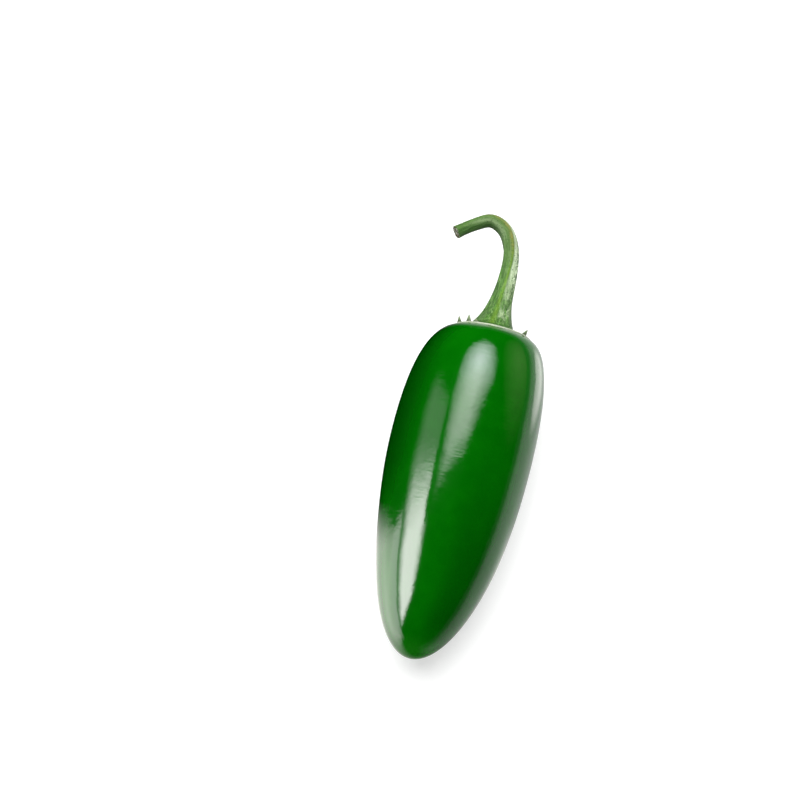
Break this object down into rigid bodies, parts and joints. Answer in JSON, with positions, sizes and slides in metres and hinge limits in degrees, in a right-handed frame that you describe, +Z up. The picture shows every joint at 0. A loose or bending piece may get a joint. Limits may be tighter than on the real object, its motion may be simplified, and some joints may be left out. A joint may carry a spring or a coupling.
{
  "type": "chilli pepper",
  "caption": "Blunt green chilli pepper lying on its side, with a thin toothed calyx and a hooked, ridged stem.",
  "frame": {"origin": "middle of the small flat spot on the belly that the fruit lies on", "axes": "+Y along the lying fruit from its blunt tip towards the stem, +Z up, +X to the right seen from above with the tip towards the viewer; the stem hooks towards -X"},
  "size_m": [0.0319, 0.101, 0.0323],
  "materials": {
    "pod_skin": "glossy waxy skin",
    "calyx": "matte",
    "stem": "matte, fibrous"
  },
  "bodies": {
    "root": {"pod": "pod_skin", "calyx": "calyx", "stem": "stem"}
  },
  "joints": []
}
